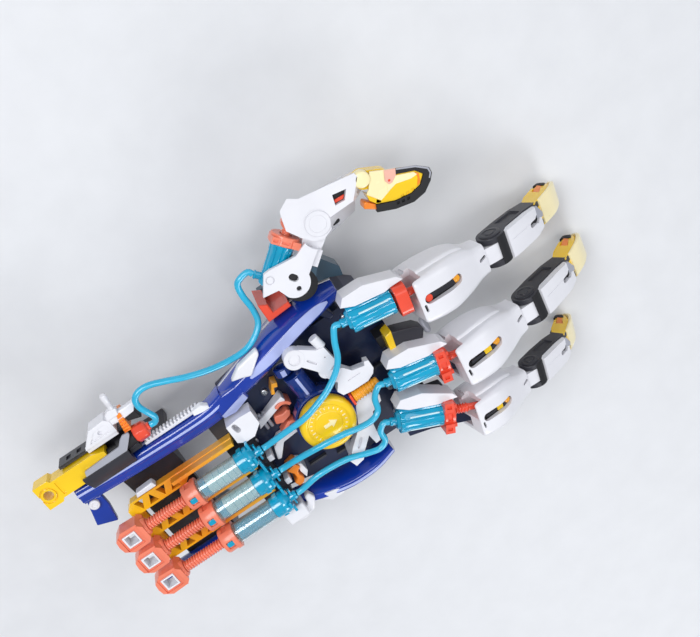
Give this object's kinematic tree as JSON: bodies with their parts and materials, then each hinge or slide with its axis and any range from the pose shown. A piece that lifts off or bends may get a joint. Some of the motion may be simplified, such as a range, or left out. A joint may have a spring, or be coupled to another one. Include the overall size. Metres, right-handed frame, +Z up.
{
  "type": "hydraulic robot hand kit",
  "caption": "Wearable hydraulic robot hand: jointed fingers and a thumb on a palm chassis between blue rails, each bent by a water cylinder, a hose and a control syringe.",
  "frame": {"origin": "on the flat underside of the palm chassis, under the middle hydraulic line, 2.5 mm behind and 10.5 mm beside the knob's axis", "axes": "+X from forearm to fingertips, +Y towards the thumb, +Z up through the back of the hand"},
  "size_m": [0.3528, 0.2033, 0.0853],
  "materials": {
    "white_plastic": "moulded",
    "blue_plastic": "moulded",
    "navy_plastic": "moulded",
    "grey_plastic": "moulded",
    "red_plastic": "moulded",
    "salmon_plastic": "moulded",
    "orange_plastic": "moulded",
    "yellow_plastic": "moulded",
    "cyan_barrel": "moulded",
    "clear_barrel": "moulded",
    "hose": "smooth",
    "slate_plastic": "moulded"
  },
  "bodies": {
    "root": {"brace_arms": "white_plastic", "crossbar": "grey_plastic", "finger_guides": "orange_plastic", "index_control_barrel": "clear_barrel", "index_cylinder_barrel": "cyan_barrel", "index_cylinder_collar": "red_plastic", "index_cylinder_cradle": "white_plastic", "index_hose": "hose", "knob_seat": "navy_plastic", "little_side_block": "white_plastic", "middle_control_barrel": "clear_barrel", "middle_cylinder_barrel": "cyan_barrel", "middle_cylinder_collar": "red_plastic", "middle_cylinder_cradle": "white_plastic", "middle_hose": "hose", "palm_chassis": "navy_plastic", "radial_rail": "blue_plastic", "rail_rack": "white_plastic", "ring_control_barrel": "clear_barrel", "ring_cylinder_barrel": "cyan_barrel", "ring_cylinder_collar": "red_plastic", "ring_cylinder_cradle": "white_plastic", "ring_hose": "hose", "thumb_bracket": "red_plastic", "thumb_control_barrel": "clear_barrel", "thumb_control_tray": "grey_plastic", "thumb_hose": "hose", "thumb_mount": "slate_plastic", "thumb_side_block": "white_plastic", "ulnar_rail": "blue_plastic"},
    "index_proximal": {"index_proximal_shell": "white_plastic", "index_curl_link": "grey_plastic"},
    "index_middle_segment": {"index_middle_frame": "grey_plastic", "index_middle_cover": "white_plastic"},
    "index_fingertip": {"index_tip": "yellow_plastic"},
    "index_rod": {"index_cylinder_rod": "red_plastic"},
    "index_control": {"index_control_rod": "salmon_plastic"},
    "middle_proximal": {"middle_proximal_shell": "white_plastic", "middle_curl_link": "grey_plastic"},
    "middle_middle_segment": {"middle_middle_frame": "grey_plastic", "middle_middle_cover": "white_plastic"},
    "middle_fingertip": {"middle_tip": "yellow_plastic"},
    "middle_rod": {"middle_cylinder_rod": "red_plastic"},
    "middle_control": {"middle_control_rod": "salmon_plastic"},
    "ring_proximal": {"ring_proximal_shell": "white_plastic", "ring_curl_link": "grey_plastic"},
    "ring_middle_segment": {"ring_middle_frame": "grey_plastic", "ring_middle_cover": "white_plastic"},
    "ring_fingertip": {"ring_tip": "yellow_plastic"},
    "ring_rod": {"ring_cylinder_rod": "red_plastic"},
    "ring_control": {"ring_control_rod": "salmon_plastic"},
    "thumb_lower": {"thumb_lower_shell": "white_plastic", "thumb_cylinder_barrel": "cyan_barrel", "thumb_cylinder_collar": "salmon_plastic"},
    "thumb_upper": {"thumb_upper_shell": "white_plastic"},
    "thumb_end": {"thumb_tip": "yellow_plastic"},
    "thumb_rod": {"thumb_cylinder_rod": "salmon_plastic"},
    "thumb_control": {"thumb_control_rod": "yellow_plastic"},
    "knob": {"tension_knob": "yellow_plastic"},
    "cuff": {"arm_cuff": "grey_plastic"}
  },
  "joints": [
    {"name": "index_knuckle", "type": "hinge", "parent": "root", "child": "index_proximal", "pos_m": [0.09, 0.0445, 0.061], "axis": [0.1564, 0.9877, 0], "range_deg": [-9, 33]},
    {"name": "index_middle_joint", "type": "hinge", "parent": "index_proximal", "child": "index_middle_segment", "pos_m": [0.13975, 0.03662, 0.05302], "axis": [0.1564, 0.9877, 0], "range_deg": [-8.6, 30.2]},
    {"name": "index_tip_joint", "type": "hinge", "parent": "index_middle_segment", "child": "index_fingertip", "pos_m": [0.17311, 0.03134, 0.03352], "axis": [0.1564, 0.9877, 0], "range_deg": [-8, 22]},
    {"name": "index_rod_slide", "type": "slide", "parent": "root", "child": "index_rod", "axis": [0.9877, -0.1564, 0], "range_m": [-0.00241, 0.00829]},
    {"name": "index_control_slide", "type": "slide", "parent": "root", "child": "index_control", "axis": [1, 0, 0], "range_m": [-0.00334, 0.01172]},
    {"name": "middle_knuckle", "type": "hinge", "parent": "root", "child": "middle_proximal", "pos_m": [0.0917, -0.0053, 0.061], "axis": [0.0872, 0.9962, 0], "range_deg": [-10, 32]},
    {"name": "middle_middle_joint", "type": "hinge", "parent": "middle_proximal", "child": "middle_middle_segment", "pos_m": [0.14173, -0.00968, 0.05214], "axis": [0.0872, 0.9962, 0], "range_deg": [-9.5, 29.3]},
    {"name": "middle_tip_joint", "type": "hinge", "parent": "middle_middle_segment", "child": "middle_fingertip", "pos_m": [0.17538, -0.01262, 0.03264], "axis": [0.0872, 0.9962, 0], "range_deg": [-8, 22]},
    {"name": "middle_rod_slide", "type": "slide", "parent": "root", "child": "middle_rod", "axis": [0.9781, -0.2079, 0], "range_m": [-0.00267, 0.0081]},
    {"name": "middle_control_slide", "type": "slide", "parent": "root", "child": "middle_control", "axis": [1, 0, 0], "range_m": [-0.00369, 0.01137]},
    {"name": "ring_knuckle", "type": "hinge", "parent": "root", "child": "ring_proximal", "pos_m": [0.0813, -0.0444, 0.059], "axis": [0.2079, 0.9781, 0], "range_deg": [-14, 28]},
    {"name": "ring_middle_joint", "type": "hinge", "parent": "ring_proximal", "child": "ring_middle_segment", "pos_m": [0.1239, -0.05345, 0.04814], "axis": [0.2079, 0.9781, 0], "range_deg": [-13.1, 25.7]},
    {"name": "ring_tip_joint", "type": "hinge", "parent": "ring_middle_segment", "child": "ring_fingertip", "pos_m": [0.15205, -0.05944, 0.02945], "axis": [0.2079, 0.9781, 0], "range_deg": [-8, 22]},
    {"name": "ring_rod_slide", "type": "slide", "parent": "root", "child": "ring_rod", "axis": [0.8988, -0.4384, 0], "range_m": [-0.00331, 0.00642]},
    {"name": "ring_control_slide", "type": "slide", "parent": "root", "child": "ring_control", "axis": [1, 0, 0], "range_m": [-0.00509, 0.00997]},
    {"name": "thumb_base", "type": "hinge", "parent": "root", "child": "thumb_lower", "pos_m": [0.034, 0.0884, 0.056], "axis": [0, 0, 1], "range_deg": [-8, 12], "deforming": ["thumb_hose"]},
    {"name": "thumb_knuckle", "type": "hinge", "parent": "thumb_lower", "child": "thumb_upper", "pos_m": [0.05818, 0.1089, 0.056], "axis": [0, 0, 1], "range_deg": [-18, 8]},
    {"name": "thumb_tip_joint", "type": "hinge", "parent": "thumb_upper", "child": "thumb_end", "pos_m": [0.09391, 0.11768, 0.056], "axis": [0, 0, 1], "range_deg": [-12, 12]},
    {"name": "thumb_rod_slide", "type": "slide", "parent": "thumb_lower", "child": "thumb_rod", "axis": [0.7627, 0.6468, 0], "range_m": [-0.0023, 0.0049]},
    {"name": "thumb_control_slide", "type": "slide", "parent": "root", "child": "thumb_control", "axis": [1, 0, 0], "range_m": [-0.003, 0.0065]},
    {"name": "knob_turn", "type": "hinge", "parent": "root", "child": "knob", "pos_m": [0.0025, 0.0105, 0.07], "axis": [0, 0, 1], "range_deg": [-150, 150]},
    {"name": "cuff_slide", "type": "slide", "parent": "root", "child": "cuff", "axis": [1, 0, 0], "range_m": [-0.014, 0.009]}
  ],
  "couplings": [
    {"joint": "index_middle_joint", "follows": "index_knuckle", "ratio": 0.9},
    {"joint": "index_rod_slide", "follows": "index_knuckle", "m_per_rad": 0.01404},
    {"joint": "index_control_slide", "follows": "index_knuckle", "m_per_rad": 0.02},
    {"joint": "middle_middle_joint", "follows": "middle_knuckle", "ratio": 0.9},
    {"joint": "middle_rod_slide", "follows": "middle_knuckle", "m_per_rad": 0.01415},
    {"joint": "middle_control_slide", "follows": "middle_knuckle", "m_per_rad": 0.02},
    {"joint": "ring_middle_joint", "follows": "ring_knuckle", "ratio": 0.9},
    {"joint": "ring_rod_slide", "follows": "ring_knuckle", "m_per_rad": 0.01274},
    {"joint": "ring_control_slide", "follows": "ring_knuckle", "m_per_rad": 0.02},
    {"joint": "thumb_rod_slide", "follows": "thumb_knuckle", "m_per_rad": -0.015},
    {"joint": "thumb_control_slide", "follows": "thumb_knuckle", "m_per_rad": -0.02}
  ]
}
